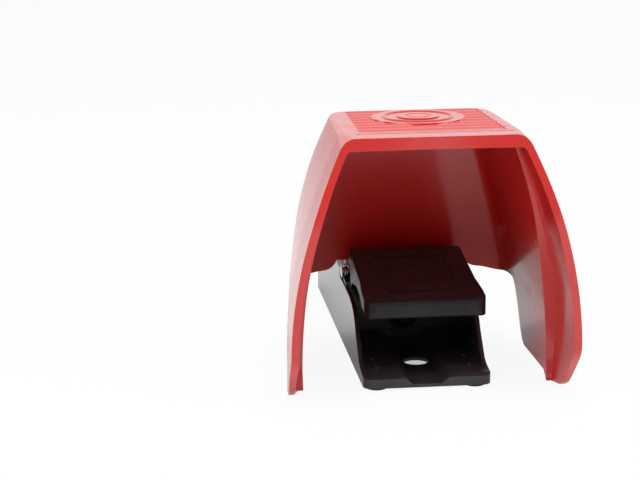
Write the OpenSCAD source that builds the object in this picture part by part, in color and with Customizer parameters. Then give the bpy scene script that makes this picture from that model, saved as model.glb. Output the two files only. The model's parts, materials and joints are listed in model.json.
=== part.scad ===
// Guarded industrial foot switch: a die-cast base with a sprung pedal, a plunger and a
// snap switch in its sealed rear housing, under a moulded hood that stands on two feet.
// Millimetres. X runs across the switch, Y runs from the pedal's front to the cable entry
// and Z is up. The origin is on the floor, under the middle of the whole outline.

/* [Base casting] */
// Width of the casting
base_w = 75; // [65:1:95]
// Length of the casting
base_l = 229; // [215:1:280]
// Height of the casting's underside above the floor
base_lift = 2; // [1.5:0.1:4]
// Thickness of the casting's outer walls
wall = 3; // [2.5:0.1:4]
// Thickness of the floor in the tray's channel
floor_wall = 2; // [1.5:0.1:3]
// Height of the tray's shoulders above the floor
tray_top = 8.5; // [7:0.1:11]
// Half width of the channel at its top
channel_top = 13.5; // [11:0.5:16]
// Half width of the channel at its bottom
channel_bottom = 8.5; // [8:0.5:10]
// Height of the cheeks beside the pedal
cheek_h = 40; // [36:0.5:42]
// Thickness of the cheeks
cheek_wall = 2.5; // [2:0.1:3.5]
// Height of the rear housing's roof
housing_h = 47.2; // [44:0.2:56]
// Corner radius of the casting in plan
corner_r = 5; // [3:0.5:8]
// Distance from the front edge to the bulkhead
bulkhead_y = 98; // [94:1:110]
// Diameter of the floor fixing hole
fixing_d = 15; // [8:0.5:16]
// Distance from the front edge to the fixing hole
fixing_y = 44.7; // [35:0.1:55]
// Diameter of the rubber feet
foot_d = 14; // [10:0.5:16]

/* [Pedal] */
// Width of the tread
pedal_w = 69; // [60:0.1:69.4]
// Distance from the casting's front edge to the tread's front edge
pedal_front = 7.5; // [4:0.5:16]
// Height of the tread's front edge
pedal_front_z = 51.6; // [50:0.1:56]
// Height of the tread's rear edge
pedal_rear_z = 62.3; // [60:0.1:66]
// Depth of the tread's front lip
pedal_lip = 10.2; // [8:0.1:11]
// Radius of the tread's corners in plan
pedal_corner = 6; // [3:0.1:9]
// How far the tread's front flares out on each side
pedal_flare = 1.3; // [0:0.1:1.6]
// Thickness of the pedal's walls
pedal_wall = 3; // [2.5:0.1:4]
// Height of the hinge pin's axis
hinge_z = 45.5; // [45:0.1:47]
// Distance from the bulkhead's face to the hinge pin's axis
hinge_back = 4; // [3.5:0.1:5]
// Diameter of the hinge pin
pin_d = 5; // [4:0.1:6]
// Wall of the pedal's bushes
bush_wall = 1; // [0.8:0.1:1.5]
// Pedal travel in degrees
pedal_travel = 12; // [8:1:14]
// Wire diameter of the pedal springs
spring_wire = 1; // [0.8:0.1:1.1]
// Turns of each pedal spring
spring_turns = 2; // [1:1:2]

/* [Plunger and switch] */
// Height of the plunger's axis
plunger_z = 19.4; // [17:0.1:22]
// Diameter of the plunger's stem
plunger_d = 6; // [5:0.1:8]
// Outer diameter of the rubber boot
boot_d = 20; // [16:0.5:22]
// Length of the switch body
switch_l = 28; // [24:0.5:32]
// Depth of the switch body
switch_depth = 16; // [14:0.5:18]
// Thickness of the switch body
switch_t = 10.3; // [9:0.1:12]

/* [Guard] */
// Width of the guard at its widest
guard_w = 166; // [138:0.1:200]
// Height of the guard's front edge
guard_h = 154.5; // [128:0.1:186]
// How far the guard's rim stands ahead of the casting
guard_front = 32.5; // [24:0.5:45]
// Width of the rim's front face
rim_w = 4.8; // [3.5:0.1:6]
// Depth of the flange behind the rim
flange_depth = 44; // [30:1:50]
// Wall of the hood behind its flange
hood_wall = 4; // [3:0.1:5]
// Thickness of the saddle that is screwed to the housing
saddle_t = 5; // [4:0.1:7]
// Height of the legs' rear edges above the floor
leg_lift = 4.8; // [3:0.1:10]
// Height of the hood's lower edge at the back
back_edge = 44; // [42:0.1:46]
// Thickness of the roof at its front edge
front_t = 7; // [5:0.1:9]
// Setback of the roof's corners at the rim
front_corner = 6.5; // [4:0.1:10]
// Setback of the roof's corners behind the flange
rear_corner = 3; // [2.5:0.1:10]
// Height over which the solid feet pass into the flange
foot_rise = 30; // [20:1:40]

/* [Cable gland] */
// Diameter of the gland's thread
gland_d = 20; // [16:0.5:22]
// Bore of the gland's seal
cable_d = 10; // [7:0.5:11]
// Height of the gland's axis
gland_z = 24; // [22:0.5:26]
// Width of the gland's hexagon across its flats
gland_hex = 24; // [23:0.5:28]

/* [Hidden] */
$fn = 48;

eps = 0.01;
fit = 0.02;          // radial clearance of a pin that is held
run = 0.05;          // radial clearance of a running fit
gap = 0.3;           // clearance between pieces that pass each other

black = [0.09, 0.08, 0.085];
red = [0.78, 0.16, 0.14];
steel = [0.72, 0.72, 0.74];
rubber = [0.06, 0.06, 0.06];

half_w = base_w / 2;
cheek_in = half_w - cheek_wall;
channel_z = base_lift + floor_wall;
bulkhead_t = wall + 1;
hinge_y = bulkhead_y + hinge_back;
shelf_z = hinge_z - 7;
pocket_back = hinge_y + 9;
cheek_step = hinge_y + 6.6;
roof_wall = wall + 0.6;
roof_in = housing_h - roof_wall;

plate_t = 1.5;
gasket_t = 1;
ledge_z = base_lift + plate_t + gasket_t;
ledge_w = 3.5;
plate_x = half_w - wall;
plate_front = bulkhead_y + bulkhead_t + 1;
plate_back = base_l - wall;
cavity_x = plate_x - ledge_w;
cavity_front = plate_front + ledge_w;
cavity_back = plate_back - ledge_w;
plate_screw_d = 4;
plate_boss_r = 4;
plate_boss_h = 14;
plate_screw_x = cavity_x - 2;
plate_screw_y = [cavity_front + 2, (cavity_front + cavity_back) / 2, cavity_back - 2];

foot_x = half_w - 8.5;
foot_front_y = 9;
foot_rear_x = plate_screw_x - 12;
foot_rear_y = plate_back - 16;
foot_seat = 1;

ear_out = half_w - 5.1;
ear_t = 4;
ear_in = ear_out - ear_t;
lug_t = 6;
lug_x = ear_in - 2 - lug_t;
barrel_r = 5.5;
bush_r = pin_d / 2 + bush_wall;
coil_r = pin_d / 2 + gap + spring_wire / 2;
coil_x = ear_out + gap + spring_wire / 2;
coil_pitch = spring_wire + 0.15;
coil_w = (spring_turns + 0.5) * coil_pitch;
pin_head_t = 0.7;
pin_end = coil_x + coil_w + spring_wire / 2 + gap;

tread_back = hinge_y - 10;
tread_slope = (pedal_rear_z - pedal_front_z) / (tread_back - pedal_front);
web_back = bulkhead_y - 5.7;
web_t = 4;
web_low = hinge_z - 15.5;
finger_w = 11;
buffer_z = hinge_z - 13.5;
buffer_x = 20;
buffer_d = 8;
buffer_t = bulkhead_y - web_back - (hinge_z - web_low) * sin(pedal_travel)
    - (hinge_y - web_back) * (1 - cos(pedal_travel)) - 0.1;

finger_back = bulkhead_y - 9;
nose_gap = gap;
plunger_front = finger_back + nose_gap;
finger_low = plunger_z - 2.4;
lever_arm_z = hinge_z - plunger_z;
plunger_ratio = lever_arm_z * 1.008;
plunger_travel = plunger_ratio * pedal_travel * PI / 180;
bush_len = bulkhead_t + 3;
collar_t = 2;
collar_y = bulkhead_y + bulkhead_t + 1.2;
bracket_t = 2;
spring_room = 11;
bracket_y = collar_y + collar_t + spring_room;
stem_end = bracket_y + bracket_t + 3;
lever_t = 0.6;
lever_arm = 20;
lever_face = stem_end + plunger_travel + gap;
pivot_y = lever_face + lever_t / 2;
pivot_x = -lever_arm;
lever_open = atan(plunger_travel / lever_arm);
switch_face = pivot_y + 1.3;
switch_x = pivot_x - 1.6;
switch_low = plunger_z - switch_t / 2;
button_x = pivot_x + 8;
button_d = 2.4;
button_travel = 8 * tan(lever_open);
tip_r = button_d / 2 - 0.5;
button_tip = pivot_y + lever_t / 2 / cos(lever_open) + tip_r * tan(lever_open) - button_travel + run;
post_x = [-cavity_x + 5, cavity_x - 8];
post_y = switch_face + switch_depth / 2;
switch_hole_x = [switch_x + 3, switch_x + switch_l - 3];
switch_hole_y = switch_face + switch_depth - 3.5;

gland_flange = 6;
gland_end = base_l + gland_flange + 17;
nut_bore = cable_d / 2 + 1;

frame_y = (guard_front - gland_end) / 2;

// ---------------------------------------------------------------- shared shapes

module in_frame() translate([0, frame_y, 0]) children();

module both_sides() {
    children();
    mirror([1, 0, 0]) children();
}

// A YZ outline swept across X between two places
module across(x0, x1) translate([x0, 0, 0]) rotate([90, 0, 90]) linear_extrude(x1 - x0) children();

// An XZ outline swept along Y between two places
module along(y0, y1) translate([0, y1, 0]) rotate([90, 0, 0]) linear_extrude(y1 - y0) children();

// A cylinder whose axis runs along Y
module rod_y(y0, y1, r) translate([0, y0, 0]) rotate([-90, 0, 0]) cylinder(r = r, h = y1 - y0);

// A cylinder whose axis runs along X
module rod_x(x0, x1, r) translate([x0, 0, 0]) rotate([0, 90, 0]) cylinder(r = r, h = x1 - x0);

module hexagon(flats) circle(r = flats / sqrt(3), $fn = 6);

module rounded_rect(x0, x1, y0, y1, r) {
    translate([x0 + r, y0]) square([x1 - x0 - 2 * r, y1 - y0]);
    translate([x0, y0 + r]) square([x1 - x0, y1 - y0 - 2 * r]);
    for (x = [x0 + r, x1 - r], y = [y0 + r, y1 - r]) translate([x, y]) circle(r = r);
}

function mix(a, b, t) = a + (b - a) * t;
function smooth(t) = let(c = min(1, max(0, t))) c * c * (3 - 2 * c);

// A round wire swept along a list of points
module wire(path, r, sides = 8) {
    n = len(path);
    function heading(i) = path[min(n - 1, i + 1)] - path[max(0, i - 1)];
    function unit(v) = v / norm(v);
    rings = [for (i = [0 : n - 1])
        let(f = unit(heading(i)), s = unit(cross(f, [0.31, 0.17, 0.93])), u = cross(s, f))
        for (k = [0 : sides - 1]) path[i] + r * (cos(360 * k / sides) * s + sin(360 * k / sides) * u)];
    skin = [for (i = [0 : n - 2], k = [0 : sides - 1])
        let(a = i * sides, b = a + sides, m = (k + 1) % sides) [a + k, a + m, b + m, b + k]];
    near_cap = [[for (k = [sides - 1 : -1 : 0]) k]];
    far_cap = [[for (k = [0 : sides - 1]) (n - 1) * sides + k]];
    polyhedron(rings, concat(skin, near_cap, far_cap));
}

// ---------------------------------------------------------------- base casting

module casting_outline() {
    polygon([
        [0, base_lift], [0, tray_top - 1], [3, tray_top - 0.2], [9, tray_top + 0.2], [17, tray_top + 1.6],
        [22, tray_top + 3.6], [29, cheek_h - 21.5], [36, cheek_h - 15.3], [40.5, cheek_h - 9.6],
        [47, cheek_h - 4.6], [54.5, cheek_h - 1.8], [66, cheek_h], [cheek_step, cheek_h],
        [cheek_step, housing_h], [base_l, housing_h], [base_l, base_lift]
    ]);
}

// The space between the cheeks, above the tray and ahead of the bulkhead
module tray_space() {
    translate([-cheek_in, -1, tray_top]) cube([2 * cheek_in, bulkhead_y + 1, housing_h]);
    along(-1, bulkhead_y - 1) polygon([
        [-channel_top, tray_top + 1], [-channel_top, tray_top],
        [-channel_bottom, channel_z], [channel_bottom, channel_z],
        [channel_top, tray_top], [channel_top, tray_top + 1]
    ]);
}

// Hollows under the tray's shoulders
module underside_hollows() {
    rib = 2.5;
    inner = channel_top + 1;
    outer = half_w - wall;
    starts = [22, (22 + bulkhead_y) / 2 + rib / 2];
    length = (bulkhead_y - 22) / 2 - 1.5 * rib;
    both_sides() for (y = starts)
        translate([inner, y, base_lift - 1]) cube([outer - inner, length, tray_top - wall - base_lift + 1.5]);
}

module hinge_lug() {
    across(lug_x, lug_x + lug_t) {
        translate([hinge_y, hinge_z]) circle(r = barrel_r);
        polygon([
            [bulkhead_y + 0.3, shelf_z - 2], [hinge_y - barrel_r, hinge_z],
            [hinge_y + barrel_r, hinge_z], [pocket_back + 1, shelf_z + 3], [pocket_back + 1, shelf_z - 2]
        ]);
    }
}

module base_casting() color(black) in_frame() difference() {
    union() {
        difference() {
            intersection() {
                across(-half_w, half_w) casting_outline();
                translate([0, 0, base_lift - 1]) linear_extrude(housing_h)
                    rounded_rect(-half_w, half_w, 0, base_l, corner_r);
                along(-1, base_l + 1) rounded_rect(-half_w, half_w, -10, housing_h, 2.5);
            }
            tray_space();
            underside_hollows();
            // pocket for the pedal's ears and hinge pin
            translate([-ear_out - gap, bulkhead_y - 1, shelf_z])
                cube([2 * (ear_out + gap), pocket_back - bulkhead_y + 1, housing_h]);
            both_sides() translate([ear_out, bulkhead_y - 1, cheek_h])
                cube([half_w, cheek_step - bulkhead_y + 1, housing_h]);
            // housing cavity and the recess for its cover
            translate([-cavity_x, cavity_front, base_lift])
                cube([2 * cavity_x, cavity_back - cavity_front, shelf_z - roof_wall - base_lift]);
            translate([-cavity_x, pocket_back + wall, base_lift])
                cube([2 * cavity_x, cavity_back - pocket_back - wall, roof_in - base_lift]);
            translate([-plate_x, plate_front, base_lift - 1])
                cube([2 * plate_x, plate_back - plate_front, ledge_z - base_lift + 1]);
        }
        both_sides() hinge_lug();
        tray_pips();
        plate_bosses();
        bracket_posts();
        guard_bosses();
        earth_boss();
        gland_pad();
    }
    translate([0, fixing_y, base_lift - 1]) cylinder(d = fixing_d, h = tray_top);
    translate([0, hinge_y, hinge_z]) rod_x(-half_w, half_w, pin_d / 2 + fit);
    translate([0, 0, plunger_z]) rod_y(bulkhead_y - 1, cavity_front + 1, plunger_d / 2 + 2);
    both_sides() {
        translate([foot_x, foot_front_y, base_lift - 1]) cylinder(d = foot_d, h = 1 + foot_seat);
        for (y = plate_screw_y) translate([plate_screw_x, y, base_lift]) cylinder(d = plate_screw_d, h = 11);
        for (y = guard_screw_y) translate([guard_screw_x, y, roof_in - 5]) cylinder(d = guard_screw_d, h = 20);
        translate([buffer_x, 0, buffer_z]) rod_y(bulkhead_y - 1, bulkhead_y + 2, 1.5);
    }
    for (x = post_x) translate([x, post_y, post_low - 1]) cylinder(d = 4, h = 9);
    translate([earth_x, earth_y, earth_low - 1]) cylinder(d = 4, h = 9);
    translate([0, 0, gland_z]) rod_y(cavity_back - 1, base_l + 1, gland_d / 2 + fit);
}

// Cast pips on the tray's shoulders
pip_x = 28;
pip_y = [19.5, 38];
pip_d = 3;
pip_h = 0.8;
module tray_pips() both_sides() for (y = pip_y)
    translate([pip_x, y, tray_top - 1]) cylinder(d = pip_d, h = 1 + pip_h, $fn = 24);

module plate_bosses() {
    both_sides() for (y = plate_screw_y)
        translate([plate_screw_x, y, ledge_z]) cylinder(r = plate_boss_r, h = plate_boss_h);
}

post_low = switch_low;
module bracket_posts() {
    for (x = post_x) translate([x, post_y, post_low]) cylinder(r = 4, h = roof_in - post_low + 1);
}

guard_screw_d = 5;
guard_screw_x = 24;
guard_screw_y = [hinge_y + 24, hinge_y + 56];
module guard_bosses() {
    both_sides() for (y = guard_screw_y)
        translate([guard_screw_x, y, roof_in - 6]) cylinder(r = 4.5, h = 7);
}

earth_x = 20;
earth_y = base_l - 28;
earth_low = roof_in - 12;
module earth_boss() translate([earth_x, earth_y, earth_low]) cylinder(r = 4, h = 13);

// Thick pad inside the rear wall around the gland's thread
module gland_pad() translate([0, 0, gland_z]) rod_y(cavity_back - 0.5, base_l - 1, gland_hex / 2 + 2);

module base_plate() color(steel) in_frame() difference() {
    translate([0, 0, base_lift]) linear_extrude(plate_t)
        rounded_rect(-plate_x + gap, plate_x - gap, plate_front + gap, plate_back - gap, 2);
    both_sides() for (y = plate_screw_y) translate([plate_screw_x, y, base_lift - eps])
        cylinder(r1 = plate_screw_d, r2 = plate_screw_d / 2 + 0.2, h = plate_t + 2 * eps);
}

module plate_gasket() color(rubber) in_frame() difference() {
    translate([0, 0, base_lift + plate_t]) linear_extrude(gasket_t) difference() {
        rounded_rect(-plate_x + gap, plate_x - gap, plate_front + gap, plate_back - gap, 2);
        rounded_rect(-cavity_x - eps, cavity_x + eps, cavity_front, cavity_back, 1);
        both_sides() for (y = plate_screw_y) translate([plate_screw_x, y]) circle(d = plate_screw_d + 0.5);
    }
}

module plate_screws() color(steel) in_frame() both_sides() for (y = plate_screw_y)
    translate([plate_screw_x, y, base_lift]) difference() {
        union() {
            cylinder(r1 = plate_screw_d - 0.2, r2 = plate_screw_d / 2, h = plate_t);
            cylinder(d = plate_screw_d - 2 * fit, h = 10);
        }
        for (a = [0, 90]) rotate(a) translate([-2, -0.35, -eps]) cube([4, 0.7, 0.8]);
    }

module foot(x, y, top) translate([x, y, 0]) {
    cylinder(d1 = foot_d - 2, d2 = foot_d - 2 * fit, h = 1);
    translate([0, 0, 1]) cylinder(d = foot_d - 2 * fit, h = top - 1);
}

module rubber_feet() color(rubber) in_frame() both_sides() {
    foot(foot_x, foot_front_y, base_lift + foot_seat);
    foot(foot_rear_x, foot_rear_y, base_lift);
}

// ---------------------------------------------------------------- pedal

function tread_z(y) = pedal_front_z + tread_slope * (y - pedal_front);

module tread_outline() polygon([
    [pedal_front, pedal_front_z - pedal_lip + 1], [pedal_front, pedal_front_z - 2],
    [pedal_front + 0.6, pedal_front_z - 0.6], [pedal_front + 2, tread_z(pedal_front + 2)],
    [tread_back - 2, tread_z(tread_back - 2)], [tread_back, pedal_rear_z - 0.6],
    [tread_back + 5, pedal_rear_z - 4], [hinge_y + 2.5, hinge_z + 6.5],
    [hinge_y + barrel_r, hinge_z], [hinge_y + 5, shelf_z + gap + 0.8],
    [hinge_y - 20, shelf_z + gap + 0.8], [hinge_y - 26, hinge_z - 0.5],
    [(pedal_front + hinge_y) / 2 + 1, pedal_front_z - 3], [pedal_front + 5.5, pedal_front_z - 6.8],
    [pedal_front + 4, pedal_front_z - pedal_lip], [pedal_front + 1, pedal_front_z - pedal_lip]
]);

module tread_hollow() polygon([
    [pedal_front + pedal_wall, pedal_front_z - pedal_lip - 5],
    [pedal_front + pedal_wall, pedal_front_z - pedal_wall - 1],
    [pedal_front + pedal_wall + 1.5, tread_z(pedal_front + pedal_wall) - pedal_wall],
    [web_back - web_t, tread_z(web_back - web_t) - pedal_wall],
    [web_back - web_t, shelf_z - 5]
]);

// The tread in plan: its front flares a little beyond the cheeks
tread_half = pedal_w / 2 + pedal_flare;
flare_end = 40;
module tread_plan() {
    rounded_rect(-tread_half, tread_half, pedal_front, pedal_front + 2.5 * pedal_corner, pedal_corner);
    polygon([
        [-tread_half, pedal_front + pedal_corner], [tread_half, pedal_front + pedal_corner],
        [tread_half, flare_end - 18], [tread_half - pedal_flare / 2, flare_end - 8], [pedal_w / 2, flare_end],
        [pedal_w / 2 - 0.5, hinge_y + 20], [-pedal_w / 2 + 0.5, hinge_y + 20],
        [-pedal_w / 2, flare_end], [-tread_half + pedal_flare / 2, flare_end - 8], [-tread_half, flare_end - 18]
    ]);
}

module pedal() color(black) in_frame() difference() {
    union() {
        difference() {
            intersection() {
                across(-tread_half, tread_half) tread_outline();
                linear_extrude(guard_h) tread_plan();
            }
            across(-pedal_w / 2 + pedal_wall, pedal_w / 2 - pedal_wall) tread_hollow();
            // room between the ears for the lugs
            across(-ear_in, ear_in) polygon([
                [web_back, 0], [web_back, hinge_z + 6], [web_back + 2, hinge_z + 10],
                [hinge_y + 1, hinge_z + 6.8], [hinge_y + 20, hinge_z + 6.8], [hinge_y + 20, 0]
            ]);
            // the springs sit outside the ears
            both_sides() translate([ear_out, hinge_y - 18, 0]) cube([half_w, 50, hinge_z + 9]);
        }
        across(-ear_in - 1, ear_in + 1) polygon([
            [web_back - web_t, web_low], [web_back, web_low],
            [web_back, hinge_z + 11], [web_back - web_t, hinge_z + 13.5]
        ]);
        across(-finger_w / 2, finger_w / 2) polygon([
            [finger_back - 3, finger_low], [finger_back, finger_low],
            [finger_back, web_low + 2], [web_back - 1, web_low + 6],
            [web_back - 1, hinge_z + 8], [web_back - web_t - 7, hinge_z + 8], [finger_back - 6, web_low]
        ]);
    }
    translate([0, hinge_y, hinge_z]) rod_x(-half_w, half_w, bush_r);
    both_sides() translate([ear_out - 2.5, hinge_y - 12, hinge_z + 3.4]) rod_x(0, 5, spring_wire / 2 + 0.3);
}

module pedal_bushes() color([0.62, 0.48, 0.25]) in_frame() both_sides()
    translate([0, hinge_y, hinge_z]) difference() {
        union() {
            rod_x(ear_in, ear_out, bush_r);
            rod_x(ear_in - 0.8, ear_in, bush_r + 1);
        }
        rod_x(ear_in - 2, ear_out + 1, pin_d / 2 + run);
    }

module hinge_pin() color(steel) in_frame() translate([0, hinge_y, hinge_z]) {
    rod_x(-pin_end, pin_end + pin_head_t + 0.3, pin_d / 2);
    rod_x(-pin_end - pin_head_t, -pin_end, pin_d / 2 + 1.3);
}

module pin_clip() color(steel) in_frame() translate([0, hinge_y, hinge_z]) difference() {
    rod_x(pin_end, pin_end + 0.8, pin_d / 2 + 1.5);
    rod_x(pin_end - 1, pin_end + 2, pin_d / 2 + fit);
    translate([pin_end - 1, -1, -6]) cube([3, 2, 6]);
}

// Torsion spring about the pin: one leg bears on the cheek, the other hooks into the ear
function coil_points(steps) = let(sweep = 360 * spring_turns + 180)
    [for (i = [0 : steps]) let(a = -90 + sweep * i / steps)
        [coil_x + coil_w * (1 - i / steps),
         hinge_y + coil_r * cos(a), hinge_z + coil_r * sin(a)]];

module torsion_spring() {
    r = spring_wire / 2;
    x0 = coil_x + coil_w;
    coil = coil_points(20 * spring_turns + 10);
    low = cheek_h + r + 0.1;
    fixed_leg = [[x0, hinge_y - 15, low], [x0, hinge_y - 8, low], [x0, hinge_y - 2.5, hinge_z - coil_r]];
    hook_y = hinge_y - 12;
    top = hinge_z + 3.4;
    moving_leg = [[coil_x, hinge_y - 2, hinge_z + coil_r],
        [coil_x, hook_y + 1.2, top], [coil_x - 0.35, hook_y + 0.35, top],
        [coil_x - 1.2, hook_y, top], [ear_out - 2, hook_y, top]];
    wire(concat(fixed_leg, coil, moving_leg), r, 8);
}

module left_spring() color(steel) in_frame() mirror([1, 0, 0]) torsion_spring();

module right_spring() color(steel) in_frame() torsion_spring();

module stop_buffers() color(rubber) in_frame() both_sides() translate([buffer_x, 0, buffer_z]) {
    rod_y(bulkhead_y - buffer_t + 0.6, bulkhead_y, buffer_d / 2);
    rod_y(bulkhead_y - buffer_t, bulkhead_y - buffer_t + 0.6, buffer_d / 2 - 0.8);
    rod_y(bulkhead_y - 1, bulkhead_y + 1.9, 1.5 - fit);
}

// ---------------------------------------------------------------- plunger and switch

module plunger() color([0.8, 0.8, 0.78]) in_frame() translate([0, 0, plunger_z]) {
    nose = 2;
    translate([0, plunger_front, 0]) rotate([-90, 0, 0])
        cylinder(r1 = plunger_d / 2 - nose + 0.6, r2 = plunger_d / 2, h = nose);
    rod_y(plunger_front + nose, stem_end - nose, plunger_d / 2);
    translate([0, stem_end - nose, 0]) rotate([-90, 0, 0])
        cylinder(r1 = plunger_d / 2, r2 = plunger_d / 2 - nose - 0.4, h = nose);
    rod_y(collar_y, collar_y + collar_t, plunger_d / 2 + 2);
}

module plunger_bush() color([0.62, 0.48, 0.25]) in_frame() translate([0, 0, plunger_z]) difference() {
    union() {
        rod_y(bulkhead_y - 0.8, bulkhead_y + bulkhead_t, plunger_d / 2 + 2);
        rod_y(bulkhead_y - 1.8, bulkhead_y - 0.0, plunger_d / 2 + 3.2);
    }
    rod_y(bulkhead_y - 5, bulkhead_y + bulkhead_t + 5, plunger_d / 2 + run);
}

// Rubber boot: a flange on the bulkhead and a pleated skirt that hugs the stem
module plunger_boot() color(rubber) in_frame() translate([0, bulkhead_y, plunger_z]) rotate([90, 0, 0])
    rotate_extrude() polygon([
        [plunger_d / 2 + 3.4, 0], [boot_d / 2, 0], [boot_d / 2, 2], [boot_d / 2 - 1.2, 3],
        [plunger_d / 2 + 5.2, 3], [plunger_d / 2 + 4.2, 4.2], [plunger_d / 2 + 3, 4.8],
        [plunger_d / 2 + 2.2, 6.2], [plunger_d / 2 + run, 6.4], [plunger_d / 2 + run, 5.4],
        [plunger_d / 2 + 1.6, 5], [plunger_d / 2 + 2.6, 3.4], [plunger_d / 2 + 3.4, 2.2]
    ]);

module plunger_spring() color(steel) in_frame() {
    r = 0.35;
    turns = 5;
    steps = 12 * turns;
    wire_r = plunger_d / 2 + 0.5 + r;
    wire([for (i = [0 : steps]) let(a = 360 * turns * i / steps)
        [wire_r * cos(a), mix(collar_y + collar_t + r + 0.1, bracket_y - r - 0.1, i / steps),
         plunger_z + wire_r * sin(a)]], r, 6);
}

// Steel angle that carries the switch from two posts under the roof
module switch_bracket() color(steel) in_frame() difference() {
    low = switch_low - bracket_t;
    union() {
        translate([post_x[0] - 4.5, bracket_y, low])
            cube([post_x[1] - post_x[0] + 9, switch_face + switch_depth - bracket_y, bracket_t]);
        translate([-12, bracket_y, low]) cube([24, bracket_t, plunger_z - low + 9]);
    }
    translate([0, 0, plunger_z]) rod_y(bracket_y - 1, bracket_y + bracket_t + 1, plunger_d / 2 + gap);
    for (x = post_x) translate([x, post_y, low - 1]) cylinder(d = 4.4, h = bracket_t + 2);
    for (x = switch_hole_x) translate([x, switch_hole_y, low - 1]) cylinder(d = 3.1, h = bracket_t + 2);
}

module bracket_screws() color(steel) in_frame() for (x = post_x)
    translate([x, post_y, switch_low - bracket_t]) pan_screw(4, 8, true);

// Pan head screw with its head's seat at z = 0; the shank points up or down
module pan_screw(d, length, up = false) mirror([0, 0, up ? 1 : 0]) difference() {
    union() {
        cylinder(r1 = d * 0.95, r2 = d * 0.8, h = d * 0.6);
        translate([0, 0, -length]) cylinder(r = d / 2 - fit, h = length + eps);
    }
    for (a = [0, 90]) rotate(a) translate([-d / 2, -d * 0.09, d * 0.3]) cube([d, d * 0.18, d]);
}

module switch_body() color([0.12, 0.12, 0.13]) in_frame() difference() {
    union() {
        translate([switch_x, switch_face, switch_low]) cube([switch_l, switch_depth, switch_t]);
        // two ears that carry the lever's pivot
        for (z = [switch_low, switch_low + switch_t - 1.5]) translate([pivot_x, 0, z]) linear_extrude(1.5) {
            translate([0, pivot_y]) circle(r = 1.5);
            translate([-1.5, pivot_y]) square([3, 2]);
        }
    }
    translate([pivot_x, pivot_y, switch_low - 1]) cylinder(r = 0.8 + run, h = switch_t + 2);
    translate([button_x, 0, plunger_z]) rod_y(switch_face - 1, switch_face + 6, button_d / 2 + run);
    for (x = switch_hole_x) translate([x, switch_hole_y, switch_low - 1]) cylinder(d = 3.1, h = switch_t + 2);
    for (i = [0 : 2]) translate([terminal_x(i), switch_face + switch_depth - 2, plunger_z])
        translate([-0.4 - fit, 0, -2.4 - fit]) cube([0.8 + 2 * fit, 3, 4.8 + 2 * fit]);
}

module switch_screws() color(steel) in_frame() for (x = switch_hole_x)
    translate([x, switch_hole_y, switch_low + switch_t]) pan_screw(3, switch_t + bracket_t + 1);

// Sheet lever on a round pivot, standing open by its free angle
module switch_lever() color(steel) in_frame() translate([pivot_x, pivot_y, 0]) {
    inner = switch_t - 3 - 2 * gap;
    rotate([0, 0, -lever_open]) translate([0.5, -lever_t / 2, plunger_z - inner / 2 + 0.2])
        cube([lever_arm + 5.5, lever_t, inner - 0.4]);
    translate([0, 0, plunger_z - inner / 2]) cylinder(r = 1.1, h = inner);
    translate([0, 0, switch_low]) cylinder(r = 0.8, h = switch_t);
}

module switch_button() color([0.75, 0.2, 0.15]) in_frame() translate([button_x, 0, plunger_z]) {
    rod_y(button_tip + 0.5, switch_face + 2.5, button_d / 2);
    translate([0, button_tip, 0]) rotate([-90, 0, 0]) cylinder(r1 = tip_r, r2 = button_d / 2, h = 0.5);
}

function terminal_x(i) = switch_x + 4.6 + i * (switch_l - 9.2) / 2;
module switch_terminals() color([0.75, 0.6, 0.3]) in_frame() for (i = [0 : 2])
    translate([terminal_x(i), switch_face + switch_depth - 2, plunger_z]) difference() {
        translate([-0.4, 0, -2.4]) cube([0.8, 10, 4.8]);
        translate([0, 7, 0]) rod_x(-1, 1, 0.9);
    }

module earth_screw() color([0.75, 0.6, 0.3]) in_frame() translate([earth_x, earth_y, earth_low]) {
    translate([0, 0, -1]) difference() {
        cylinder(r = 4.5, h = 1);
        translate([0, 0, -1]) cylinder(r = 2, h = 3);
    }
    translate([0, 0, -1]) pan_screw(4, 8, true);
}

// ---------------------------------------------------------------- guard

// Half width of the outside and of the inside at a height
function out_x(z) = guard_w / 2 - guard_w * 0.172 * pow((z - 28) / (guard_h - 34.5), 2);
function in_x(z) = guard_w / 2 - 11.1 - guard_w * 0.134 * pow((z - 10) / (guard_h - 24.5), 2);
function flange_x(z) = max(out_x(z) - rim_w, in_x(z) + 1);

// Where the rim and the step behind its flange lie at a height: above the toe the rim's
// edge climbs forward at 45 degrees and then bends upright
toe = 3;
toe_round = 4.8;
function bend(t) = t < -5 ? 0 : t > 5 ? t : pow(t + 5, 2) / 20;
function rim_y(z) = -guard_front
    + bend(guard_front - toe - z) + toe_round * pow(max(0, 1 - z / 5), 2)
    + 12.5 * smooth((z - guard_h + 55) / 75);
function step_y(z) = flange_depth - guard_front
    - 14.5 * smooth((z - guard_h + 105) / 75) - 2.5 * (1 - smooth(z / 16));

// The roof and the back wall
function roof_z(y) = guard_h - 0.046 * (y + 20);
function roof_under(y) = mix(guard_h - front_t, roof_z(78) - hood_wall, min(1, max(0, (y + 20) / 98)));
function back_y(z) = hinge_y + 7 - 0.28 * (z - 47);

// How fast the sides close in towards the back, and how square the rear corners are in plan
function side_lean(z) = mix(0.07, 0.03, smooth((z - 50) / 80));
function side_taper(inner, z) = inner
    ? mix(0.045, 0.15, min(1, max(0, (z - 48) / 76)))
    : mix(0.14, 0.09, smooth((z - 50) / 80));
function squareness(inner) = inner ? 10 : 9;
function turn(q) = pow(0.5, 1 / q);
function curve(t, q) = pow(1 - pow(t, q), 1 / q);
function curve_v(k, q) = k < 0.5 ? 2 * turn(q) * k : curve(2 * turn(q) * (1 - k), q);
function curve_x(k, q) = k < 0.5 ? curve(2 * turn(q) * k, q) : 2 * turn(q) * (1 - k);

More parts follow.
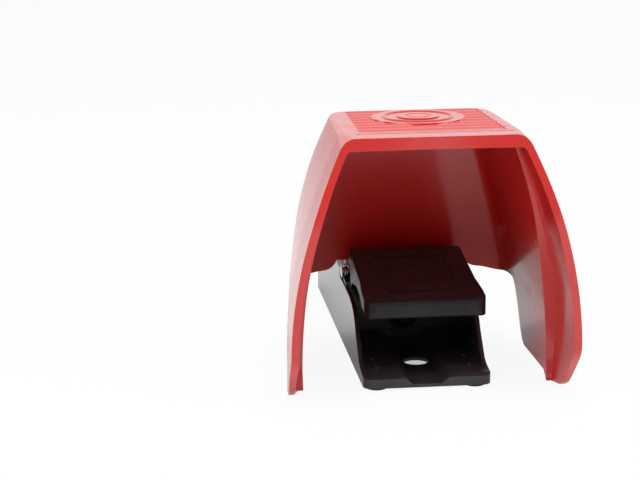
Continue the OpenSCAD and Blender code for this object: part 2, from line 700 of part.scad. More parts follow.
// Plan point of the hood at a height: k runs from the step (0) to the middle of the back (1)
function hood_point(inner, k, z, a, y0, y1) = let(q = squareness(inner), v = curve_v(k, q))
    [a * curve_x(k, q) * (1 - side_taper(inner, z) * v), mix(y0, y1, v), z];

inner_corner = 1.8;
foot_edge = 0.5;
flange_cols = 5;
hood_cols = 24;
cols = flange_cols + hood_cols + 1;
wall_rows = 14;
bend_rows = 5;
roof_rows = 4;
rows = wall_rows + bend_rows + roof_rows + 1;

function col_k(j) = j <= flange_cols ? 0 : mix(0.007, 1, (j - flange_cols - 1) / (hood_cols - 1));
function flange_back_x(z) = out_x(z) - side_lean(z) * (step_y(z) - rim_y(z));
function outer_point(j, z) = j < flange_cols
    ? mix([out_x(z), rim_y(z), z], [flange_back_x(z), step_y(z), z], j / flange_cols)
    : hood_point(false, col_k(j), z, flange_back_x(z), step_y(z) + 1.5, back_y(z) + hood_wall);

// The feet are solid: there the flange runs straight from the rim's outer edge to the step
function foot_point(j, z) =
    mix([out_x(z) - foot_edge, rim_y(z), z], [in_x(z), step_y(z), z], j / flange_cols);
function inner_point(j, z) = j < flange_cols
    ? mix([flange_x(z), mix(rim_y(z), step_y(z), j / (flange_cols - 1)), z], foot_point(j, z),
          1 - smooth(z / foot_rise))
    : hood_point(true, col_k(j), z, in_x(z), step_y(z), back_y(z));

// Height of the lower edge at a column: feet, raised leg, arch and back edge
arch_y = 61;
arch_l = 32;
arch_drop = 3;
function edge_z(j) = let(p = inner_point(j, back_edge))
    j <= flange_cols ? 0
    : mix(leg_lift, back_edge - arch_drop, smooth((p[1] - arch_y) / arch_l))
        + arch_drop * smooth((in_x(back_edge) - 7 - p[0]) / 15);

function along_wall(inner, j, z) = inner ? inner_point(j, z) : outer_point(j, z);
function roof_at(inner, y) = inner ? roof_under(y) : roof_z(y);

// One column of points: up the wall, round the shoulder and in along the roof to the middle
function column(inner, j) =
    let(soft = inner ? inner_corner : mix(front_corner, rear_corner, min(1, j / flange_cols)),
        top = roof_at(inner, along_wall(inner, j, guard_h - 8)[1]),
        start = along_wall(inner, j, top - soft),
        corner = along_wall(inner, j, top),
        end_y = mix(rim_y(guard_h), back_y(guard_h) - 22, pow(j / (cols - 1), 1.5)),
        end = [0, end_y, roof_at(inner, end_y)],
        inward = corner + (end - corner) * soft / norm(end - corner))
    concat(
        [for (i = [0 : wall_rows]) along_wall(inner, j, mix(edge_z(j), top - soft, pow(i / wall_rows, 1.5)))],
        [for (i = [1 : bend_rows]) let(t = i / bend_rows)
            start * (1 - t) * (1 - t) + corner * 2 * t * (1 - t) + inward * t * t],
        [for (i = [1 : roof_rows]) let(t = i / roof_rows)
            let(p = mix(inward, end, t)) [p[0], p[1], roof_at(inner, p[1])]]);

function flip(p) = [-p[0], p[1], p[2]];

// Both halves of a skin as rows of points, from one lower edge over the roof to the other
function half_skin(inner) = [for (j = [0 : cols - 1]) each column(inner, j)];

// Quads of a closed shell: right and left halves share the middle line
module hood_shell() {
    outer_half = half_skin(false);
    inner_half = half_skin(true);
    size = cols * rows;
    points = concat(outer_half, [for (p = outer_half) flip(p)], inner_half, [for (p = inner_half) flip(p)]);
    // index of a point: side 0 is right and 1 is left; the middle points are shared
    function at(inner, left, j, i) =
        let(shared = i == rows - 1 || j == cols - 1)
        (inner ? 2 : 0) * size + (left && !shared ? size : 0) + j * rows + i;
    function quad(a, b, c, d, turned) = turned ? [a, b, c, d] : [d, c, b, a];
    skins = [for (inner = [false, true], left = [false, true], j = [0 : cols - 2], i = [0 : rows - 2])
        quad(at(inner, left, j, i), at(inner, left, j + 1, i),
             at(inner, left, j + 1, i + 1), at(inner, left, j, i + 1), inner != left)];
    rims = [for (left = [false, true], i = [0 : rows - 2])
        quad(at(false, left, 0, i), at(false, left, 0, i + 1),
             at(true, left, 0, i + 1), at(true, left, 0, i), left)];
    edges = [for (left = [false, true], j = [0 : cols - 2])
        quad(at(false, left, j + 1, 0), at(false, left, j, 0),
             at(true, left, j, 0), at(true, left, j + 1, 0), left)];
    halves = [for (f = concat(skins, rims, edges)) each [[f[0], f[1], f[2]], [f[0], f[2], f[3]]]];
    polyhedron(points, [for (f = halves) if (f[0] != f[1] && f[1] != f[2] && f[0] != f[2]) f]);
}

saddle_w = 68;
gusset_t = 3.5;
saddle_front = hinge_y + 7;
saddle_back = guard_screw_y[1] + 11;

// Opening in the back wall for the housing, with rounded lower corners
notch_x = half_w + 2;
notch_r = 9;
notch_top = housing_h + saddle_t - 1;
module notch() along(hinge_y - 10, hinge_y + 30) {
    translate([-notch_x, housing_h - 20]) square([2 * notch_x, notch_top - housing_h + 20]);
    for (side = [-1, 1]) difference() {
        translate([side * (notch_x + notch_r / 2 - eps), notch_top - notch_r / 2 - 2])
            square([notch_r, notch_r + 4], center = true);
        translate([side * (notch_x + notch_r), notch_top + 2]) circle(r = notch_r);
    }
}

module guard() color(red) in_frame() {
    difference() {
        union() {
            difference() {
                hood_shell();
                notch();
            }
            translate([0, 0, housing_h]) linear_extrude(saddle_t)
                rounded_rect(-saddle_w / 2, saddle_w / 2, saddle_front, saddle_back, 4);
            both_sides() for (x = [8, saddle_w / 2 - gusset_t - 0.5]) across(x, x + gusset_t) polygon([
                [back_y(housing_h + 3) + 2, housing_h + 3], [saddle_back - 6, housing_h + 3],
                [saddle_back - 6, housing_h + saddle_t + 2], [back_y(housing_h + 50) + 2, housing_h + 50]
            ]);
        }
        both_sides() for (y = guard_screw_y) translate([guard_screw_x, y, housing_h - 1])
            cylinder(d = guard_screw_d + 0.5, h = saddle_t + 2);
    }
}

module guard_washers() color(steel) in_frame() both_sides() for (y = guard_screw_y)
    translate([guard_screw_x, y, housing_h + saddle_t]) difference() {
        cylinder(d = guard_screw_d * 2, h = 1);
        translate([0, 0, -1]) cylinder(d = guard_screw_d + 0.4, h = 3);
    }

module guard_screws() color(steel) in_frame() both_sides() for (y = guard_screw_y)
    translate([guard_screw_x, y, housing_h + saddle_t + 1]) pan_screw(guard_screw_d, saddle_t + 9);

// ---------------------------------------------------------------- cable gland

module gland_body() color([0.15, 0.15, 0.16]) in_frame() translate([0, 0, gland_z]) difference() {
    union() {
        rod_y(cavity_back - 6.5, base_l, gland_d / 2);
        along(base_l, base_l + gland_flange) hexagon(gland_hex);
        rod_y(base_l + gland_flange, base_l + gland_flange + 8, cable_d / 2 + 3.8);
    }
    rod_y(cavity_back - 8, base_l + 4, nut_bore);
    rod_y(base_l + 4 - eps, base_l + gland_flange + 9, cable_d / 2 + 2.5);
}

module gland_locknut() color([0.15, 0.15, 0.16]) in_frame() translate([0, 0, gland_z]) difference() {
    along(cavity_back - 5, cavity_back - 0.5) hexagon(gland_hex + 2);
    rod_y(cavity_back - 6, cavity_back + 1, gland_d / 2 + fit);
}

module gland_seal() color(rubber) in_frame() translate([0, 0, gland_z]) difference() {
    rod_y(base_l + 4, base_l + gland_flange + 9.5, cable_d / 2 + 2.5 - fit);
    rod_y(base_l, base_l + gland_flange + 11, cable_d / 2);
}

module gland_nut() color([0.15, 0.15, 0.16]) in_frame() translate([0, 0, gland_z]) difference() {
    start = base_l + gland_flange + 0.3;
    union() {
        along(start, start + 9) hexagon(gland_hex - 2);
        translate([0, start + 9, 0]) rotate([-90, 0, 0])
            cylinder(r1 = gland_hex / 2 - 1.4, r2 = nut_bore + 2, h = gland_end - start - 9);
    }
    rod_y(start - 1, base_l + gland_flange + 9.5, cable_d / 2 + 3.8 + fit);
    rod_y(start, gland_end + 1, nut_bore);
}

base_casting();
base_plate();
plate_gasket();
plate_screws();
rubber_feet();
pedal();
pedal_bushes();
hinge_pin();
pin_clip();
left_spring();
right_spring();
stop_buffers();
guard();
guard_screws();
guard_washers();
plunger();
plunger_bush();
plunger_boot();
plunger_spring();
switch_bracket();
bracket_screws();
switch_body();
switch_screws();
switch_lever();
switch_button();
switch_terminals();
earth_screw();
gland_body();
gland_locknut();
gland_seal();
gland_nut();
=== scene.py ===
import bpy
import bmesh
import json
import math
from mathutils import Matrix, Vector

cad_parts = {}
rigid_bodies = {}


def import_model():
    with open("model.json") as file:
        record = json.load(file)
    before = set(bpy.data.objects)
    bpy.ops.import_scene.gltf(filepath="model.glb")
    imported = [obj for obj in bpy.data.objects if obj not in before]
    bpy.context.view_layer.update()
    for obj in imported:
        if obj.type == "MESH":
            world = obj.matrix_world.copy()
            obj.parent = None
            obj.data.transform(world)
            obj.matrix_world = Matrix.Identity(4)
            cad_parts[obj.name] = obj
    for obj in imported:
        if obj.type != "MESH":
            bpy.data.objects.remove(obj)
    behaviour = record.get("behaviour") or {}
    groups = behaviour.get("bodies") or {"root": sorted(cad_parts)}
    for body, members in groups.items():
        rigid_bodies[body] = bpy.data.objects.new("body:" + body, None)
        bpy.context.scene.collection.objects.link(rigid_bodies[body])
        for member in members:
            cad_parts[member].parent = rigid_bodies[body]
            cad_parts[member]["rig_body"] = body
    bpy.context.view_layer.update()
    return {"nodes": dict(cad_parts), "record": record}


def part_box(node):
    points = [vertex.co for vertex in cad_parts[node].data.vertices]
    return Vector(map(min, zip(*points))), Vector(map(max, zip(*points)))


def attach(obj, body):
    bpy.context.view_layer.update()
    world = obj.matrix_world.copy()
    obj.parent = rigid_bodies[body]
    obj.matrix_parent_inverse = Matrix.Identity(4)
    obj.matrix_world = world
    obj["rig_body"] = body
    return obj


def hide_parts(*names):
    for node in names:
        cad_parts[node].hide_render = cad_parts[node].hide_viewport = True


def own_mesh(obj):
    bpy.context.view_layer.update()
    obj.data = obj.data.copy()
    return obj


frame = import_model()
print("stage: frame loaded,", len(frame["nodes"]), "CAD nodes")

mm = 0.001
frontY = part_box("base_casting")[0].y  # the casting's front face, from which the pieces' Y places count
facingUp = 0.9                        # a face whose normal rises by more than this looks upwards


# helpers for shader nodes

def node(tree, kind, **settings):
    made = tree.nodes.new(kind)
    for key, value in settings.items():
        setattr(made, key, value)
    return made


def feed(tree, value, socket):  # value is another node's output, a number, a vector or a colour
    if isinstance(value, bpy.types.NodeSocket):
        tree.links.new(value, socket)
    elif socket.type == "RGBA":
        socket.default_value = (*value, 1)
    else:
        socket.default_value = value


def calculate(tree, operation, *values, kind="ShaderNodeMath"):
    made = node(tree, kind, operation=operation)
    for value, socket in zip(values, made.inputs):
        feed(tree, value, socket)
    return made.outputs[0]


def placeOf(tree, kind="Object"):
    return node(tree, "ShaderNodeTexCoord").outputs[kind]


def axesOf(tree, place):
    separated = node(tree, "ShaderNodeSeparateXYZ")
    feed(tree, place, separated.inputs[0])
    return separated.outputs


def spread(tree, value, low, high, fromLow=0.3, fromHigh=0.7, easing="LINEAR"):
    ranged = node(tree, "ShaderNodeMapRange", interpolation_type=easing)
    feed(tree, value, ranged.inputs["Value"])
    feed(tree, fromLow, ranged.inputs["From Min"])
    feed(tree, fromHigh, ranged.inputs["From Max"])
    feed(tree, low, ranged.inputs["To Min"])
    feed(tree, high, ranged.inputs["To Max"])
    return ranged.outputs[0]


def mixShaders(tree, share, first, second):
    mixed = node(tree, "ShaderNodeMixShader")
    for value, socket in zip((share, first, second), mixed.inputs):
        feed(tree, value, socket)
    return mixed.outputs[0]


# camera and studio

cameraSetup = {
    "target": (-56.85 * mm, -60.0 * mm, 79.3 * mm),  # a point left of the pedal
    "distance": 1326.9 * mm,
    "azimuth": 6.791,
    "elevation": 14.304,
    "roll": -0.216,
    "lens": 126.56,
    "sensor": 36,
    "clip": (0.05, 20),
}


def addCamera(setup):
    turn = (Matrix.Rotation(math.radians(-setup["azimuth"]), 3, "Z")
            @ Matrix.Rotation(math.radians(90 - setup["elevation"]), 3, "X")
            @ Matrix.Rotation(math.radians(setup["roll"]), 3, "Z"))
    back = turn @ Vector((0, 0, 1))
    bpy.ops.object.camera_add(location=Vector(setup["target"]) + back * setup["distance"],
                              rotation=turn.to_euler())
    camera = bpy.context.object
    camera.name = "camera"
    camera.data.sensor_width = setup["sensor"]
    camera.data.lens = setup["lens"]
    camera.data.clip_start, camera.data.clip_end = setup["clip"]
    bpy.context.scene.camera = camera


studioSetup = {
    "floorSize": 12.0,
    "floorDrop": 0.05 * mm,      # the floor lies this far under the feet
    "floorColor": (0.84, 0.84, 0.84),
    "floorWhite": 0.92,          # how much of the floor's look is plain white
    "floorUnder": 0.5,           # and right under the base, lower there: a painted shadow under the base
    "underEdge": (0.8, 0.98),    # where the one turns into the other, as shares of the base's half size
    "floorMirror": 0.26,         # how much of it is plain white in a gloss
    "skyFront": 0.14,            # light that the studio's front gives
    "skyRound": 0.5,             # and its sides, back and top
    "mirrorFront": 0.45,         # how bright the front looks in a gloss
    "mirrorRound": 1.18,         # and the sides, back and top
    "frontEdge": (-0.95, -0.4),  # Y of the direction where the front ends and the sides begin
    "lampAim": (0, 0, 0.07),
    "lamps": {                   # name: (place, size, watts)
        "leftBox": ((-1.6, -1.1, 1.0), 0.9, 12.5),
        "rightBox": ((1.5, -1.2, 1.1), 0.9, 10),
        "topBox": ((0.1, -0.4, 1.9), 1.2, 28),
    },
}


def rayKinds(tree):  # 1 for rays that glosses send, and 1 for rays that the eye sees directly
    path = node(tree, "ShaderNodeLightPath").outputs
    eye = calculate(tree, "MAXIMUM", path["Is Camera Ray"], path["Is Transmission Ray"])
    return path["Is Glossy Ray"], eye


# painted shadow: the floor's white share drops under the base, so the floor looks shaded there
def paintedShadowUnderBase(tree, setup):
    low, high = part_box("base_casting")
    middle = ((low.x + high.x) / 2, (low.y + high.y) / 2, 0)
    half = ((high.x - low.x) / 2, (high.y - low.y) / 2, 1)
    place = placeOf(tree)
    for operation, value in (("SUBTRACT", (middle,)), ("DIVIDE", (half,)), ("ABSOLUTE", ())):
        place = calculate(tree, operation, place, *value, kind="ShaderNodeVectorMath")
    x, y, z = axesOf(tree, place)
    return spread(tree, calculate(tree, "MAXIMUM", x, y), setup["floorUnder"], setup["floorWhite"],
                  *setup["underEdge"], "SMOOTHSTEP")


def addFloor(setup):
    bpy.ops.mesh.primitive_plane_add(size=setup["floorSize"], location=(0, 0, -setup["floorDrop"]))
    floor = bpy.context.object
    floor.name = "studioFloor"
    material = bpy.data.materials.new("studioWhite")
    material.use_nodes = True
    tree = material.node_tree
    tree.nodes.clear()
    diffuse = node(tree, "ShaderNodeBsdfDiffuse")
    feed(tree, setup["floorColor"], diffuse.inputs["Color"])
    white = node(tree, "ShaderNodeEmission")
    glossy, eye = rayKinds(tree)
    seen = calculate(tree, "MULTIPLY", eye, paintedShadowUnderBase(tree, setup))
    mirrored = calculate(tree, "MULTIPLY", glossy, setup["floorMirror"])
    share = calculate(tree, "MAXIMUM", seen, mirrored)
    out = node(tree, "ShaderNodeOutputMaterial")
    feed(tree, mixShaders(tree, share, diffuse.outputs[0], white.outputs[0]), out.inputs[0])
    floor.data.materials.append(material)


def addWorld(setup):
    world = bpy.data.worlds.new("studio")
    bpy.context.scene.world = world
    world.use_nodes = True
    tree = world.node_tree
    tree.nodes.clear()
    x, y, z = axesOf(tree, placeOf(tree, "Generated"))
    looks = []
    for front, around in ((setup["skyFront"], setup["skyRound"]),
                          (setup["mirrorFront"], setup["mirrorRound"])):
        background = node(tree, "ShaderNodeBackground")
        strength = spread(tree, y, front, around, *setup["frontEdge"], "SMOOTHSTEP")
        feed(tree, strength, background.inputs["Strength"])
        looks.append(background.outputs[0])
    white = node(tree, "ShaderNodeBackground")
    glossy, eye = rayKinds(tree)
    out = node(tree, "ShaderNodeOutputWorld")
    feed(tree, mixShaders(tree, eye, mixShaders(tree, glossy, *looks), white.outputs[0]), out.inputs[0])


def addLamps(setup):
    for name, (place, size, watts) in setup["lamps"].items():
        bpy.ops.object.light_add(type="AREA", location=place)
        lamp = bpy.context.object
        lamp.name = name
        lamp.data.shape = "DISK"
        lamp.data.size = size
        lamp.data.energy = watts
        lamp.visible_glossy = False  # gloss mirrors the studio's pale walls, not the lamps
        aim = Vector(setup["lampAim"]) - Vector(place)
        lamp.rotation_euler = aim.to_track_quat("-Z", "Y").to_euler()


addCamera(cameraSetup)
addFloor(studioSetup)
addWorld(studioSetup)
addLamps(studioSetup)
bpy.context.scene.view_settings.view_transform = "Standard"
print("stage: studio")


# finishes: a noise is given as (size in mm, detail) or (size in mm, detail, roughness)

def newFinish(name, color, roughness, metallic=0.0, specular=0.5):
    material = bpy.data.materials.new(name)
    material.use_nodes = True
    tree = material.node_tree
    surface = tree.nodes["Principled BSDF"].inputs
    feed(tree, color, surface["Base Color"])
    feed(tree, roughness, surface["Roughness"])
    feed(tree, metallic, surface["Metallic"])
    feed(tree, specular, surface["Specular IOR Level"])
    return material, tree, surface


def noise(tree, place, size, detail=3.0, roughness=0.5):
    texture = node(tree, "ShaderNodeTexNoise")
    feed(tree, 1 / (size * mm), texture.inputs["Scale"])
    feed(tree, detail, texture.inputs["Detail"])
    feed(tree, roughness, texture.inputs["Roughness"])
    feed(tree, place, texture.inputs["Vector"])
    return texture.outputs["Fac"]


def cells(tree, place, size):
    texture = node(tree, "ShaderNodeTexVoronoi", feature="F1")
    feed(tree, 1 / (size * mm), texture.inputs["Scale"])
    feed(tree, place, texture.inputs["Vector"])
    return texture.outputs["Distance"]


def blended(tree, factor, low, high, kind="RGBA"):
    mixed = node(tree, "ShaderNodeMix", data_type=kind)
    feed(tree, low, mixed.inputs["A"])
    feed(tree, high, mixed.inputs["B"])
    feed(tree, factor, mixed.inputs["Factor"])
    return mixed.outputs["Result"]


def patched(tree, patches, *colors):
    return blended(tree, spread(tree, patches, 0, 1), *colors)


def bump(tree, height, depth):
    raised = node(tree, "ShaderNodeBump")
    feed(tree, 1.0, raised.inputs["Strength"])
    feed(tree, depth * mm, raised.inputs["Distance"])
    feed(tree, height, raised.inputs["Height"])
    return raised.outputs[0]


def coverWith(tree, surface, color, roughness, normal):
    feed(tree, color, surface["Base Color"])
    feed(tree, roughness, surface["Roughness"])
    feed(tree, normal, surface["Normal"])


mouldingSetup = {
    "color": (0.60, 0.020, 0.016),
    "darkColor": (0.565, 0.0175, 0.0145),
    "patches": (38, 2),
    "plainRoughness": 0.3,
    "roughness": (0.27, 0.36),
    "scuffs": (6, 5, 0.65),
    "skin": 0.7,              # the smooth skin that the mould leaves on the grain
    "skinRoughness": 0.13,
    "grainSize": 1.5,
    "grainDepth": 0.03,
}


def redMoulding(setup):
    material, tree, surface = newFinish("redMoulding", setup["color"], setup["plainRoughness"])
    feed(tree, setup["skin"], surface["Coat Weight"])
    feed(tree, setup["skinRoughness"], surface["Coat Roughness"])
    place = placeOf(tree)
    coverWith(tree, surface,
              patched(tree, noise(tree, place, *setup["patches"]), setup["darkColor"], setup["color"]),
              spread(tree, noise(tree, place, *setup["scuffs"]), *setup["roughness"]),
              bump(tree, cells(tree, place, setup["grainSize"]), setup["grainDepth"]))
    return material


enamelSetup = {
    "color": (0.020, 0.0175, 0.018),
    "wornColor": (0.031, 0.028, 0.0285),
    "patches": (15, 4),
    "plainRoughness": 0.1,
    "roughness": (0.28, 0.38),
    "wallRoughness": (0.07, 0.12),  # the polished outer walls
    "wallSkin": 0.2,                # how deep these reach from the outermost plane, in mm
    "smears": (11, 3),
    # painted light: the tray, shaded by the pedal and hood, is painted lighter than the walls, and its
    # scuffed patches lighter still
    "trayColor": (0.023, 0.0205, 0.021),
    "scuffColor": (0.036, 0.032, 0.033),
    "scuffs": (5, 5, 0.65),
    "trayEnd": (60, 95),            # where the tray's lighter colours, painted light in the shade of pedal and hood, end, in mm behind the front face
    "peel": (1.6, 2),
    "peelDepth": 0.012,
}


def castingEnamel(setup):
    material, tree, surface = newFinish("castingEnamel", setup["color"], setup["plainRoughness"])
    place = placeOf(tree)
    x, y, z = axesOf(tree, place)
    walls = patched(tree, noise(tree, place, *setup["patches"]), setup["color"], setup["wornColor"])
    # the tray's colours: random scuffs, and painted light that lifts the shaded tray
    tray = patched(tree, noise(tree, place, *setup["scuffs"]), setup["trayColor"], setup["scuffColor"])
    inTray = spread(tree, y, 1, 0, *(frontY + end * mm for end in setup["trayEnd"]))
    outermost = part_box("base_casting")[1].x - setup["wallSkin"] * mm
    onWall = calculate(tree, "GREATER_THAN", calculate(tree, "ABSOLUTE", x), outermost)
    smears = noise(tree, place, *setup["smears"])
    roughness = blended(tree, onWall, spread(tree, smears, *setup["roughness"]),
                        spread(tree, smears, *setup["wallRoughness"]), kind="FLOAT")
    coverWith(tree, surface, blended(tree, inTray, walls, tray), roughness,
              bump(tree, noise(tree, place, *setup["peel"]), setup["peelDepth"]))
    return material


def plainFinish(name, setup, colors, roughness):
    material, tree, surface = newFinish(name, colors[0], roughness[0], setup["metallic"], setup["gloss"])
    place = placeOf(tree)
    coverWith(tree, surface,
              patched(tree, noise(tree, place, *setup["patches"]), *colors),
              spread(tree, noise(tree, place, *setup["smears"]), *roughness),
              bump(tree, noise(tree, place, *setup["grain"]), setup["depth"]))
    return material


treadSetup = {
    "metallic": 0.0,
    "gloss": 0.3,
    "patches": (12, 5),
    "smears": (4, 4),
    "grain": (0.9, 3),
    "depth": 0.015,
}
rubberSetup = {
    "metallic": 0.0,
    "gloss": 0.35,
    "patches": (5, 4),
    "smears": (2.5, 3),
    "grain": (0.5, 3),
    "depth": 0.015,
}
plasticSetup = {
    "metallic": 0.0,
    "gloss": 0.5,
    "patches": (8, 3),
    "smears": (3, 3),
    "grain": (0.6, 2),
    "depth": 0.008,
}
platingSetup = {
    "metallic": 1.0,
    "gloss": 0.5,
    "grain": (0.4, 2),
    "depth": 0.003,
}


def platedMetal(name, colors, roughness, spangle):  # spangle is the size of the plating's patches in mm
    setup = dict(platingSetup, patches=(spangle, 3), smears=(spangle / 3, 4))
    return plainFinish(name, setup, colors, roughness)


finishes = {
    "guard_red": redMoulding(mouldingSetup),
    "casting_black": castingEnamel(enamelSetup),
    "tread_black": plainFinish(
        "treadEnamel", treadSetup, ((0.0085, 0.0072, 0.0082), (0.0145, 0.0130, 0.0142)), (0.34, 0.46)),
    "bright_steel": platedMetal("brightSteel", ((0.52, 0.52, 0.54), (0.68, 0.68, 0.69)), (0.16, 0.3), 3),
    "spring_steel": platedMetal("springWire", ((0.45, 0.45, 0.47), (0.66, 0.66, 0.67)), (0.12, 0.24), 2),
    "zinc_plate": platedMetal("zincPlate", ((0.42, 0.43, 0.46), (0.6, 0.61, 0.63)), (0.28, 0.45), 9),
    "bush_bronze": platedMetal(
        "sinteredBronze", ((0.34, 0.21, 0.09), (0.5, 0.33, 0.15)), (0.34, 0.5), 1.2),
    "terminal_brass": platedMetal(
        "terminalBrass", ((0.55, 0.39, 0.15), (0.72, 0.53, 0.22)), (0.2, 0.36), 4),
    "foot_rubber": plainFinish(
        "footRubber", rubberSetup, ((0.012, 0.012, 0.012), (0.03, 0.029, 0.028)), (0.62, 0.82)),
    "gasket_rubber": plainFinish(
        "sealRubber", rubberSetup, ((0.018, 0.018, 0.018), (0.034, 0.033, 0.032)), (0.5, 0.66)),
    "plunger_nylon": plainFinish(
        "plungerNylon", plasticSetup, ((0.62, 0.6, 0.54), (0.72, 0.7, 0.65)), (0.36, 0.5)),
    "switch_plastic": plainFinish(
        "switchCase", plasticSetup, ((0.022, 0.022, 0.024), (0.04, 0.04, 0.042)), (0.36, 0.5)),
    "button_red": plainFinish(
        "buttonPlastic", plasticSetup, ((0.5, 0.035, 0.03), (0.56, 0.06, 0.05)), (0.36, 0.5)),
    "gland_nylon": plainFinish(
        "glandNylon", plasticSetup, ((0.022, 0.022, 0.023), (0.038, 0.038, 0.04)), (0.32, 0.48)),
}
print("stage: finishes")


# working tools for the pieces

copySetup = {
    "mergeDistance": 0.003,  # in mm
    "flatAngle": 0.7,        # faces that meet at less than this many degrees become one
}


def pick(piece, *others):
    bpy.ops.object.select_all(action="DESELECT")
    for each in (piece, *others):
        each.select_set(True)
    bpy.context.view_layer.objects.active = piece


def joinInto(piece, *others):
    pick(piece, *others)
    bpy.ops.object.join()
    return piece


def startEditing(piece, kind=None):
    pick(piece)
    bpy.ops.object.mode_set(mode="EDIT")
    if kind:
        bpy.ops.mesh.select_mode(type=kind)
        bpy.ops.mesh.select_all(action="DESELECT")
    else:
        bpy.ops.mesh.select_all(action="SELECT")


def stopEditing():
    bpy.ops.object.mode_set(mode="OBJECT")


def newShape(add, **settings):
    bpy.ops.object.select_all(action="DESELECT")
    add(**settings)
    return bpy.context.object


def nameAs(piece, name):
    piece.name = name
    piece.data.name = name


def finishWith(piece, kind, **settings):
    pick(piece)
    modifier = piece.modifiers.new(kind.lower(), kind)
    for key, value in settings.items():
        setattr(modifier, key, value)
    bpy.ops.object.modifier_apply(modifier=modifier.name)


def cut(piece, cutter, operation="DIFFERENCE"):
    finishWith(piece, "BOOLEAN", operation=operation, object=cutter, solver="EXACT")
    bpy.data.objects.remove(cutter)


def cleanCopy(nodeName, pieceName):
    source = frame["nodes"][nodeName]
    piece = source.copy()
    piece.data = source.data.copy()
    bpy.context.scene.collection.objects.link(piece)
    piece.parent = None
    for key in list(piece.keys()):
        del piece[key]
    nameAs(piece, pieceName)
    pick(piece)
    bpy.ops.mesh.customdata_custom_splitnormals_clear()
    startEditing(piece)
    bpy.ops.mesh.remove_doubles(threshold=copySetup["mergeDistance"] * mm)
    bpy.ops.mesh.dissolve_limited(angle_limit=math.radians(copySetup["flatAngle"]))
    stopEditing()
    return piece


def fromFront(point):  # in mm, Y from the casting's front face
    return Vector((point.x, point.y - frontY, point.z)) / mm


def spot(x, y, z):  # the place in metres of a point given in mm, Y from the casting's front face
    return (x * mm, frontY + y * mm, z * mm)


def bevelEdges(piece, width, test=None, sharp=30, segments=3):
    # rounds the edges that are sharper than this and whose middle and ends pass the test
    startEditing(piece, "EDGE")
    mesh = bmesh.from_edit_mesh(piece.data)
    count = 0
    for edge in mesh.edges:
        if len(edge.link_faces) == 2 and edge.calc_face_angle(0) > math.radians(sharp):
            ends = [fromFront(vertex.co) for vertex in edge.verts]
            if test is None or test((ends[0] + ends[1]) / 2, ends):
                edge.select_set(True)
                count += 1
    bmesh.update_edit_mesh(piece.data)
    if count:
        bpy.ops.mesh.bevel(offset=width * mm, offset_type="OFFSET", segments=segments,
                           clamp_overlap=True)
    stopEditing()
    return count


def smoothFaces(piece, angle=35):
    pick(piece)
    bpy.ops.object.shade_smooth_by_angle(angle=math.radians(angle), keep_sharp_edges=False)
    finishWith(piece, "WEIGHTED_NORMAL", keep_sharp=True)


def extruded(outline, start, end, axis):
    # a prism of an outline of (Y, Z) points along X, or of (X, Z) points along Y
    prism = newShape(bpy.ops.mesh.primitive_circle_add, vertices=len(outline), radius=1,
                     fill_type="NGON")
    for vertex, (a, b) in zip(prism.data.vertices, outline):
        vertex.co = spot(start, a, b) if axis == "X" else spot(a, start, b)
    step = (end - start) * mm
    startEditing(prism)
    bpy.ops.mesh.extrude_region_move(
        TRANSFORM_OT_translate={"value": (step, 0, 0) if axis == "X" else (0, step, 0)})
    bpy.ops.mesh.select_all(action="SELECT")
    bpy.ops.mesh.normals_make_consistent(inside=False)
    stopEditing()
    return prism


def openEdges(piece):  # the number of open edges, and the volume in cm3
    mesh = bmesh.new()
    mesh.from_mesh(piece.data)
    count = sum(1 for edge in mesh.edges if len(edge.link_faces) != 2)
    volume = mesh.calc_volume(signed=True)
    mesh.free()
    return count, round(volume * 1e6, 1)


def paint(piece, slot):
    piece.data.materials.clear()
    piece.data.materials.append(finishes[slot])


def settle(piece, nodeName):
    slot = slotOf[nodeName]
    paint(piece, slot)
    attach(piece, frame["nodes"][nodeName]["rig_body"])
    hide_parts(nodeName)


slotOf = {entry["node"]: entry["material_slot"] for entry in frame["record"]["subparts"]}
for nodeName, slot in slotOf.items():
    paint(frame["nodes"][nodeName], slot)


# hood: a moulded shell, lofted in columns from its rim over flange and side to the back wall

